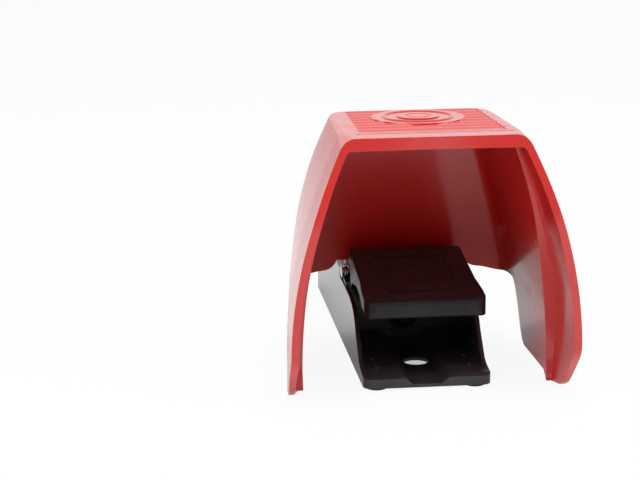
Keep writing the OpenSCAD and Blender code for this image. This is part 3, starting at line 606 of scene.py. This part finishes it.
hoodSetup = {                      # in mm, Y from the casting's front face
    "width": 166.0,
    "height": 154.5,
    "front": 32.5,                 # how far the rim stands ahead of the casting
    "rimWidth": 4.8,
    "flangeDepth": 44.0,
    "wall": 4.0,
    "roofFront": 7.0,              # thickness of the roof at its front edge
    "roofStart": -20.0,            # Y of the roof's front edge
    "roofRear": 78.0,              # and of its rear edge
    "roofSlope": 0.046,            # fall of the roof for each mm to the rear
    "legLift": 4.8,                # height of the lower edge behind the feet
    "backEdge": 44.0,              # and at the back
    "backY": 109.0,                # the back wall's inside, low down
    "backLean": (0.28, 47.0),      # how far it leans in for each mm above this height
    "outerLean": (28.0, 6.5, 0.172),    # height of the widest place, how far below the top the lean
    "innerLean": (10.0, 14.5, 0.134),   # is measured, and the share of the width that is lost there
    "innerInset": 11.1,
    "chamfer": (3.0, 5.0),         # the rim's foot slopes back below "front" less this, eased over this
    "toe": (4.8, 5.0),             # how far the rim's toe is set back, and up to which height
    "rimLean": (12.5, 55.0, 75.0),      # setback, how far below the top it starts, and over what height
    "stepLean": (14.5, 105.0, 75.0),
    "stepFoot": (2.5, 16.0),       # how far the step behind the flange comes forward at the floor
    "stepOut": 1.5,                # how far the outer wall starts behind the step
    "footRise": 30.0,              # height of the feet
    "footFill": 0.3,               # how far the flange fills up towards the feet
    "footInset": 0.5,
    "flangeLean": (1.2, 3.4),      # how far the flange leans in across its depth, at least and at most
    "leanPeak": (108.0, 30.0),     # height at which the flange leans in most, and its reach
    "flangeSpare": 1.0,            # the flange stays this far outside the inner wall
    "flangeTaper": (0.07, 0.03),   # outside, low down and high up
    "outerTaper": (0.14, 0.09),    # how much narrower the wall is at the back
    "innerTaper": (0.045, 0.15),
    "outerRange": (50.0, 80.0),    # where low turns into high: first height, and over how much
    "innerRange": (48.0, 76.0),
    "squareRange": (50.0, 60.0),
    "innerSquareness": 22,         # the higher, the tighter the rear corners
    "outerSquareness": (18, 12),
    "frontCorner": 6.5,            # setback of the roof's corners at the rim
    "rearCorner": 3.0,             # and behind the flange
    "innerCorner": 1.8,
    "archRange": (61.0, 32.0),     # first Y of the lower edge's climb to the back, and over how much
    "archMiddle": (3.0, 7.0, 15.0),     # and of its last part: rise, inset from the side, over how much
    "roofLevel": 8.0,              # how far below the top a column's Y is read for the roof
    "roofEnd": 22.0,               # how far the last column's end lies ahead of the back wall
    "flangeColumns": 6,
    "wallColumns": 45,
    "wallRows": 40,
    "cornerRows": 8,
    "roofRows": 4,
    "columnCrowding": 1.4,         # columns stand closer at the rear corner
    "rowCrowding": 1.2,            # rows stand closer at the foot
    "roofCrowding": 1.5,
    "rimRound": 0.8,
    "edgeRound": 0.5,
    "rimReach": 2.0,               # edges this close to the rim's plane are the rim's own
    "floorReach": 2.0,             # and those this close to the floor stay sharp
    "sharp": 40,                   # only edges that turn by more degrees are rounded
    "smooth": 38,
}


def mix(a, b, t):
    return a + (b - a) * t


def mixPoint(a, b, t):
    return tuple(mix(u, v, t) for u, v in zip(a, b))


def share(value, start, length):  # 0 before the start and 1 past the length
    return min(1.0, max(0.0, (value - start) / length))


def ease(t):
    t = min(1.0, max(0.0, t))
    return t * t * (3 - 2 * t)


def halfWidth(z, lean, inset=0):
    widest, drop, loss = lean
    climb = (z - widest) / (hoodSetup["height"] - drop - widest)
    return hoodSetup["width"] / 2 - inset - hoodSetup["width"] * loss * climb ** 2


def outerHalf(z):
    return halfWidth(z, hoodSetup["outerLean"])


def innerHalf(z):
    return halfWidth(z, hoodSetup["innerLean"], hoodSetup["innerInset"])


def leanBack(z, lean):
    setback, below, length = lean
    return setback * ease((z - hoodSetup["height"] + below) / length)


def rimY(z):
    lower, blend = hoodSetup["chamfer"]
    climb = hoodSetup["front"] - lower - z
    if climb < -blend:
        climb = 0
    elif climb <= blend:
        climb = (climb + blend) ** 2 / (4 * blend)
    toe, toeHeight = hoodSetup["toe"]
    toeBack = toe * max(0, 1 - z / toeHeight) ** 2
    return -hoodSetup["front"] + climb + toeBack + leanBack(z, hoodSetup["rimLean"])


def stepY(z):
    forward, footHeight = hoodSetup["stepFoot"]
    return (hoodSetup["flangeDepth"] - hoodSetup["front"] - leanBack(z, hoodSetup["stepLean"])
            - forward * (1 - ease(z / footHeight)))


def backY(z):
    lean, start = hoodSetup["backLean"]
    return hoodSetup["backY"] - lean * (z - start)


def roofTop(y):
    return hoodSetup["height"] - hoodSetup["roofSlope"] * (y - hoodSetup["roofStart"])


def roofUnder(y):
    start, rear = hoodSetup["roofStart"], hoodSetup["roofRear"]
    return mix(hoodSetup["height"] - hoodSetup["roofFront"], roofTop(rear) - hoodSetup["wall"],
               share(y, start, rear - start))


def flangeBackX(z):
    taper = mix(*hoodSetup["flangeTaper"], ease(share(z, *hoodSetup["outerRange"])))
    return outerHalf(z) - taper * (stepY(z) - rimY(z))


def planPoint(inner, k, z):  # k runs from 0 at the step behind the flange to 1 at the back's middle
    if inner:
        square, half, front, back = hoodSetup["innerSquareness"], innerHalf(z), stepY(z), backY(z)
        taper = mix(*hoodSetup["innerTaper"], share(z, *hoodSetup["innerRange"]))
    else:
        square = mix(*hoodSetup["outerSquareness"], ease(share(z, *hoodSetup["squareRange"])))
        half, front, back = flangeBackX(z), stepY(z) + hoodSetup["stepOut"], backY(z) + hoodSetup["wall"]
        taper = mix(*hoodSetup["outerTaper"], ease(share(z, *hoodSetup["outerRange"])))
    turn = 0.5 ** (1 / square)
    along = 2 * turn * min(k, 1 - k)
    across = (1 - along ** square) ** (1 / square)
    v, x = (along, across) if k < 0.5 else (across, along)
    return (half * x * (1 - taper * v), mix(front, back, v), z)


def wallPoint(inner, column, z):
    columns = hoodSetup["flangeColumns"]
    if column >= columns:
        s = 2 * (column - columns) / (hoodSetup["wallColumns"] - 1) - 1
        crowded = math.copysign(abs(s) ** hoodSetup["columnCrowding"], s)
        return planPoint(inner, 0.5 + 0.5 * crowded, z)
    rim = (outerHalf(z), rimY(z), z)
    if not inner:
        return mixPoint(rim, (flangeBackX(z), stepY(z), z), column / columns)
    across = column / (columns - 1)
    least, most = hoodSetup["flangeLean"]
    peak, reach = hoodSetup["leanPeak"]
    lean = max(least, most - ((z - peak) / reach) ** 2)
    flangeX = max(outerHalf(z) - hoodSetup["rimWidth"] - lean * across,
                  innerHalf(z) + hoodSetup["flangeSpare"])
    flange = (flangeX, mix(rimY(z), stepY(z), across), z)
    rim = (outerHalf(z) - hoodSetup["footInset"], rimY(z), z)
    foot = mixPoint(rim, (innerHalf(z), stepY(z), z), column / columns)
    return mixPoint(flange, foot, hoodSetup["footFill"] * (1 - ease(z / hoodSetup["footRise"])))


def lowerEdge(column):
    if column <= hoodSetup["flangeColumns"]:
        return 0.0
    edge = hoodSetup["backEdge"]
    rise, inset, length = hoodSetup["archMiddle"]
    x, y, z = wallPoint(True, column, edge)
    arch = mix(hoodSetup["legLift"], edge - rise, ease(share(y, *hoodSetup["archRange"])))
    return arch + rise * ease((innerHalf(edge) - inset - x) / length)


def hoodColumn(inner, column):
    height, rows = hoodSetup["height"], hoodSetup["wallRows"]
    columns = hoodSetup["flangeColumns"] + hoodSetup["wallColumns"]
    if inner:
        soft, roof = hoodSetup["innerCorner"], roofUnder
    else:
        behind = min(1, column / hoodSetup["flangeColumns"])
        soft, roof = mix(hoodSetup["frontCorner"], hoodSetup["rearCorner"], behind), roofTop
    top = roof(wallPoint(inner, column, height - hoodSetup["roofLevel"])[1])
    start = wallPoint(inner, column, top - soft)
    corner = wallPoint(inner, column, top)
    endY = mix(rimY(height), backY(height) - hoodSetup["roofEnd"],
               (column / (columns - 1)) ** hoodSetup["roofCrowding"])
    end = (0.0, endY, roof(endY))
    inward = mixPoint(corner, end, soft / math.dist(corner, end))
    points = []
    for i in range(rows + 1):
        climb = (i / rows) ** hoodSetup["rowCrowding"]
        points.append(wallPoint(inner, column, mix(lowerEdge(column), top - soft, climb)))
    for i in range(1, hoodSetup["cornerRows"] + 1):
        t = i / hoodSetup["cornerRows"]
        points.append(mixPoint(mixPoint(start, corner, t), mixPoint(corner, inward, t), t))
    for i in range(1, hoodSetup["roofRows"] + 1):
        x, y, z = mixPoint(inward, end, i / hoodSetup["roofRows"])
        points.append((x, y, roof(y)))
    return points


def loftSkin(inner):  # a flat grid whose points go to their places, and its border's points
    columns = hoodSetup["flangeColumns"] + hoodSetup["wallColumns"]
    table = [hoodColumn(inner, column) for column in range(columns)]
    rows = len(table[0])
    skin = newShape(bpy.ops.mesh.primitive_grid_add, x_subdivisions=columns - 1,
                    y_subdivisions=rows - 1, size=1)
    border = []
    for vertex in skin.data.vertices:
        column = round((vertex.co.x + 0.5) * (columns - 1))
        row = round((vertex.co.y + 0.5) * (rows - 1))
        x, y, z = table[column][row]
        onMiddle = column == columns - 1 or row == rows - 1
        vertex.co = spot(0 if onMiddle else x, y, z)
        if column == 0 or row == 0:
            border.append(vertex.index)
    return skin, border


def closeSkins(outer, inner, outerBorder, innerBorder):
    shift = len(outer.data.vertices)
    merge = 0.001 * mm
    joinInto(outer, inner)
    borders = (set(outerBorder), {index + shift for index in innerBorder})
    startEditing(outer, "EDGE")
    mesh = bmesh.from_edit_mesh(outer.data)
    for edge in mesh.edges:
        ends = {vertex.index for vertex in edge.verts}
        if len(edge.link_faces) == 1 and (ends <= borders[0] or ends <= borders[1]):
            edge.select_set(True)
    bmesh.update_edit_mesh(outer.data)
    bpy.ops.mesh.bridge_edge_loops()
    stopEditing()
    finishWith(outer, "MIRROR", use_axis=(True, False, False), use_clip=True, merge_threshold=merge)
    startEditing(outer)
    bpy.ops.mesh.remove_doubles(threshold=merge)
    bpy.ops.mesh.normals_make_consistent(inside=False)
    stopEditing()


notchSetup = {        # the opening in the back wall through which the base passes
    "half": 39.5,
    "top": 51.2,
    "radius": 9.0,    # of the flare at its two upper corners
    "rise": 2.0,      # how far the flare's centre stands above the top
    "depth": 20.0,
    "steps": 10,
    "start": 92.0,
    "end": 132.0,
}


def notchCutter(setup):
    radius, steps = setup["radius"], setup["steps"]
    centerX, centerZ = setup["half"] + radius, setup["top"] + setup["rise"]
    last = math.acos(setup["rise"] / radius)
    side = [(centerX, setup["top"] - setup["depth"])]
    for i in range(steps + 1):
        angle = last * i / steps
        side.append((centerX - radius * math.sin(angle), centerZ - radius * math.cos(angle)))
    outline = side + [(-x, z) for x, z in reversed(side)]
    return extruded(outline, setup["start"], setup["end"], "Y")


saddleSetup = {            # the ribbed plate that is screwed to the base's roof
    "half": 34.0,
    "start": 109.0,
    "end": 169.0,
    "low": 47.2,
    "thickness": 5.0,
    "corner": 4.0,
    "edgeRound": 0.6,
    "edgeReach": 0.1,      # edges within this much of the saddle's top
    "ribs": (8.0, 30.0),
    "ribWidth": 3.5,
    "ribEnd": 163.0,
    "ribTop": 97.2,
    "ribSink": 3.0,        # how far the ribs' underside stands above the saddle's
    "ribFoot": 2.0,        # height of their rear end above the saddle
    "ribBack": 2.0,        # how deep they start in the back wall
    "ribRound": 0.5,
    "ribRoundStart": 118.0,
    "screwX": 24.0,
    "screwY": (126.0, 158.0),
    "screwHole": 5.5,
    "holeDepth": 20.0,
    "holeSides": 32,
}


def makeRib(setup, left, right):
    low, foot = setup["low"] + setup["ribSink"], setup["low"] + setup["thickness"] + setup["ribFoot"]
    outline = [(backY(low) + setup["ribBack"], low), (setup["ribEnd"], low), (setup["ribEnd"], foot),
               (backY(setup["ribTop"]) + setup["ribBack"], setup["ribTop"])]
    rib = extruded(outline, left, right, "X")
    bevelEdges(rib, setup["ribRound"], segments=2,
               test=lambda middle, ends: middle.z > foot - setup["ribFoot"] / 2
               and middle.y > setup["ribRoundStart"])
    return rib


def makeSaddle(setup):
    low, thickness = setup["low"], setup["thickness"]
    saddle = newShape(bpy.ops.mesh.primitive_cube_add, size=1,
                      location=spot(0, (setup["start"] + setup["end"]) / 2, low + thickness / 2),
                      scale=(2 * setup["half"] * mm, (setup["end"] - setup["start"]) * mm,
                             thickness * mm))
    saddle.name = "saddle"
    bpy.ops.object.transform_apply(location=True, rotation=True, scale=True)
    bevelEdges(saddle, setup["corner"], segments=6,
               test=lambda middle, ends: abs(ends[0].z - ends[1].z) > thickness / 2)
    bevelEdges(saddle, setup["edgeRound"],
               test=lambda middle, ends: middle.z > low + thickness - setup["edgeReach"])
    for x in setup["ribs"]:
        cut(saddle, makeRib(setup, -x - setup["ribWidth"], -x), "UNION")
        cut(saddle, makeRib(setup, x, x + setup["ribWidth"]), "UNION")
    for x in (-setup["screwX"], setup["screwX"]):
        for y in setup["screwY"]:
            cut(saddle, newShape(bpy.ops.mesh.primitive_cylinder_add, vertices=setup["holeSides"],
                                 radius=setup["screwHole"] / 2 * mm, depth=setup["holeDepth"] * mm,
                                 location=spot(x, y, low)))
    return saddle


roofSetup = {
    "panelX": 1.7,
    "frontLine": (-6.8, 45.0, 2.4, 0.5),  # Y, half length, width and depth of the fine front line
    "firstGroove": 4.0,                   # Y of the front groove
    "lastGroove": 74.3,
    "grooves": 8,
    "frontHalf": 41.8,                    # half length of the front groove
    "rearHalf": 40.0,
    "grooveWidth": 9.2,                   # hollow grooves that leave narrow ribs
    "grooveDepth": 0.95,
    "grooveSteps": 6,                     # on each side of a groove's middle
    "cutterRise": 0.4,                    # how far the cutter stands out of the roof
    "cutterDepth": 20.0,
    "discY": 54.0,
    "discSides": 96,
    "fieldRadius": 27.5,                  # the flat field round the ring
    "ringRadius": 20.4,
    "ringWidth": 1.0,                     # half of the ring's width
    "ringSides": 12,
    "ringHeight": 0.7,
    "bossRadius": 12.5,
    "bossSteps": ((4, 0), (0.8, -0.5), (1.2, 0), (0.8, 0.5)),  # inset and rise of each, going inwards
    "bossRound": 0.35,
    "smooth": 40,
}


def grooveCutter(setup, y, half, width, depth):
    steps = setup["grooveSteps"]
    hollow = []
    for i in range(2 * steps + 1):
        u = i / steps - 1
        hollow.append((width / 2 * u, -depth * (1 - u * u)))
    outline = [(width / 2, setup["cutterRise"])] + hollow[::-1] + [(-width / 2, setup["cutterRise"])]
    return extruded([(y + u, roofTop(y + u) + v) for u, v in outline],
                    setup["panelX"] - half, setup["panelX"] + half, "X")


def roofCutter(setup):
    bars = [grooveCutter(setup, *setup["frontLine"])]
    for i in range(setup["grooves"]):
        t = i / (setup["grooves"] - 1)
        bars.append(grooveCutter(setup, mix(setup["firstGroove"], setup["lastGroove"], t),
                                 mix(setup["frontHalf"], setup["rearHalf"], t),
                                 setup["grooveWidth"], setup["grooveDepth"]))
    cutter = joinInto(*bars)
    cutter.name = "grooveCutter"
    cut(cutter, newShape(bpy.ops.mesh.primitive_cylinder_add, vertices=setup["discSides"],
                         radius=setup["fieldRadius"] * mm, depth=setup["cutterDepth"] * mm,
                         location=spot(setup["panelX"], setup["discY"], roofTop(setup["discY"])),
                         rotation=(-math.atan(hoodSetup["roofSlope"]), 0, 0)))
    return cutter


def makeHood(setup):
    hood, outerBorder = loftSkin(inner=False)
    lining, innerBorder = loftSkin(inner=True)
    nameAs(hood, "hood")
    closeSkins(hood, lining, outerBorder, innerBorder)
    print("  hood shell: open edges and volume in cm3", openEdges(hood))
    rim = bevelEdges(hood, setup["rimRound"], sharp=setup["sharp"],
                     test=lambda middle, ends: middle.y < rimY(middle.z) + setup["rimReach"]
                     and middle.z > setup["floorReach"])
    low = bevelEdges(hood, setup["edgeRound"], sharp=setup["sharp"], segments=2,
                     test=lambda middle, ends: middle.y > rimY(middle.z) + setup["rimReach"])
    print("  hood edges rounded:", rim, low, openEdges(hood))
    cut(hood, notchCutter(notchSetup))
    print("  notch cut:", openEdges(hood))
    saddle = makeSaddle(saddleSetup)
    print("  saddle:", openEdges(saddle))
    cut(hood, saddle, "UNION")
    print("  saddle joined:", openEdges(hood))
    cut(hood, roofCutter(roofSetup))
    print("  grooves cut:", openEdges(hood))
    smoothFaces(hood, setup["smooth"])
    settle(hood, "guard")
    return hood


def makeBoss(setup):
    boss = newShape(bpy.ops.mesh.primitive_cylinder_add, vertices=setup["discSides"],
                    radius=setup["bossRadius"] * mm, depth=2 * setup["ringHeight"] * mm)
    startEditing(boss)
    mesh = bmesh.from_edit_mesh(boss.data)
    for face in mesh.faces:
        face.select_set(face.normal.z > facingUp)
    bmesh.update_edit_mesh(boss.data)
    for inset, rise in setup["bossSteps"]:
        bpy.ops.mesh.inset(thickness=inset * mm, depth=rise * mm)
    stopEditing()
    finishWith(boss, "BEVEL", width=setup["bossRound"] * mm, segments=2, limit_method="ANGLE")
    return boss


def makeRoofRing(setup):
    ring = newShape(bpy.ops.mesh.primitive_torus_add, major_segments=setup["discSides"],
                    minor_segments=setup["ringSides"], major_radius=setup["ringRadius"] * mm,
                    minor_radius=setup["ringWidth"] * mm)
    nameAs(ring, "roofRing")
    ring.data.transform(Matrix.Diagonal((1, 1, setup["ringHeight"], 1)))
    joinInto(ring, makeBoss(setup))
    point = spot(setup["panelX"], setup["discY"], roofTop(setup["discY"]))
    tilt = Matrix.Rotation(-math.atan(hoodSetup["roofSlope"]), 4, "X")
    ring.data.transform(Matrix.Translation(point) @ tilt)
    paint(ring, "guard_red")
    smoothFaces(ring, setup["smooth"])
    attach(ring, frame["nodes"]["guard"]["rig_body"])


hood = makeHood(hoodSetup)
makeRoofRing(roofSetup)
print("stage: hood", len(hood.data.polygons), "faces")


# base casting: the cheeks and the tray's front edge are rounded more than the rest

castingSetup = {
    "cheekRound": 1.3,
    "cheekSpan": (6.0, 108.0),  # from this Y to this one
    "cheekLow": 9.0,            # above this height
    "cheekReach": 0.2,          # within this much of the outermost plane
    "frontRound": 1.2,
    "frontSpan": 7.0,           # ahead of this Y
    "frontLow": 4.0,
    "edgeRound": 0.35,
    "smooth": 32,
}


def makeCasting(setup):
    casting = cleanCopy("base_casting", "baseCasting")
    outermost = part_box("base_casting")[1].x / mm - setup["cheekReach"]
    first, last = setup["cheekSpan"]
    cheeks = bevelEdges(casting, setup["cheekRound"], segments=4, sharp=40,
                        test=lambda middle, ends: abs(middle.x) > outermost and first < middle.y < last
                        and middle.z > setup["cheekLow"])
    front = bevelEdges(casting, setup["frontRound"], sharp=40,
                       test=lambda middle, ends: middle.y < setup["frontSpan"]
                       and middle.z > setup["frontLow"])
    rest = bevelEdges(casting, setup["edgeRound"], segments=2, sharp=50)
    print("  casting edges rounded:", cheeks, front, rest)
    smoothFaces(casting, setup["smooth"])
    settle(casting, "base_casting")


makeCasting(castingSetup)
print("stage: base casting")


# pedal: a cast tread with soft edges and a fine frame line

pedalSetup = {
    "treadRound": 1.6,
    "treadZone": (4.0, 50.0, 98.0),  # within this of the sides, above this height, ahead of this Y
    "lipRound": 2.4,
    "lipZone": (2.5, 44.0, 16.0),
    "lipRun": 0.5,                   # only the edges that run back, by at least this much
    "edgeRound": 0.35,
    "frameInset": 13.0,
    "frameWidth": 1.3,
    "frameDepth": 0.35,
    "frameRise": 2.0,                # how far its cutter stands out of the tread
    "rearPart": 25.0,                # the tread's half width is read this close to its rear edge
    "smooth": 32,
}


def frameCutter(setup, pedal):
    tops = [face for face in pedal.data.polygons if face.normal.z > facingUp]
    top = max(tops, key=lambda face: face.area)
    corners = [fromFront(pedal.data.vertices[index].co) for index in top.vertices]
    back, front = max(corner.y for corner in corners), min(corner.y for corner in corners)
    rearX = [corner.x for corner in corners if corner.y > back - setup["rearPart"]]
    side = min(max(rearX), -min(rearX))
    print("  tread: front, back and half width in mm", round(front, 1), round(back, 1), round(side, 1))
    point, slope = fromFront(top.center), -top.normal.y / top.normal.z
    rings = []
    for shrink, over in ((0, 0), (setup["frameWidth"], 1)):
        inset = setup["frameInset"] + shrink
        deep, rise = -setup["frameDepth"] - over, setup["frameRise"] + over
        outline = [(y, point.z + (y - point.y) * slope + step) for y, step in (
            (front + inset, deep), (back - inset, deep), (back - inset, rise), (front + inset, rise))]
        rings.append(extruded(outline, inset - side, side - inset, "X"))
    cut(*rings)
    return rings[0]


def makePedal(setup):
    pedal = cleanCopy("pedal", "pedalCasting")
    cut(pedal, frameCutter(setup, pedal))
    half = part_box("pedal")[1].x / mm
    lipReach, lipTop, lipEnd = setup["lipZone"]
    lip = bevelEdges(pedal, setup["lipRound"], segments=4, sharp=40,
                     test=lambda middle, ends: abs(middle.x) > half - lipReach and middle.z < lipTop
                     and middle.y < lipEnd and abs(ends[0].y - ends[1].y) > setup["lipRun"])
    treadReach, treadLow, treadEnd = setup["treadZone"]
    tread = bevelEdges(pedal, setup["treadRound"], segments=4, sharp=40,
                       test=lambda middle, ends: abs(middle.x) > half - treadReach
                       and middle.z > treadLow and middle.y < treadEnd)
    rest = bevelEdges(pedal, setup["edgeRound"], segments=2, sharp=50)
    print("  pedal edges rounded:", lip, tread, rest)
    smoothFaces(pedal, setup["smooth"])
    settle(pedal, "pedal")


makePedal(pedalSetup)
print("stage: pedal")


# springs: round drawn wire

springSetup = {
    "levels": 1,
    "smooth": 60,
    "stroke": 5.51,  # the plunger's travel in mm
}


def makeWire(nodeName, pieceName):
    wire = cleanCopy(nodeName, pieceName)
    finishWith(wire, "SUBSURF", levels=springSetup["levels"], render_levels=springSetup["levels"])
    smoothFaces(wire, springSetup["smooth"])
    settle(wire, nodeName)
    return wire


def pressWith(piece):  # gives the piece its own copy of its mesh
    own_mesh(piece)


makeWire("left_spring", "leftSpringWire")
makeWire("right_spring", "rightSpringWire")
pressWith(makeWire("plunger_spring", "plungerSpringWire"))
print("stage: springs")


# the other pieces: softened copies of their CAD shapes

softSetup = {  # node: (edge rounding in mm, segments)
    "base_plate": (0.25, 2),
    "plate_screws": (0.15, 2),
    "rubber_feet": (0.6, 3),
    "hinge_pin": (0.3, 2),
    "pin_clip": (0.12, 2),
    "stop_buffers": (0.4, 3),
    "guard_screws": (0.35, 3),
    "guard_washers": (0.15, 2),
    "plunger": (0.35, 3),
    "plunger_boot": (0.35, 3),
    "gland_body": (0.4, 2),
    "gland_locknut": (0.5, 2),
    "gland_seal": (0.3, 2),
    "gland_nut": (0.5, 3),
    "switch_body": (0.3, 2),
    "switch_bracket": (0.3, 2),
}


def softenNode(nodeName, width, segments):
    first, *rest = nodeName.split("_")
    piece = cleanCopy(nodeName, first + "".join(word.title() for word in rest) + "Soft")
    bevelEdges(piece, width, segments=segments)
    smoothFaces(piece)
    settle(piece, nodeName)
    return piece


for nodeName, (width, segments) in softSetup.items():
    piece = softenNode(nodeName, width, segments)
    if nodeName == "plunger_boot":
        pressWith(piece)
print("stage: softened pieces")
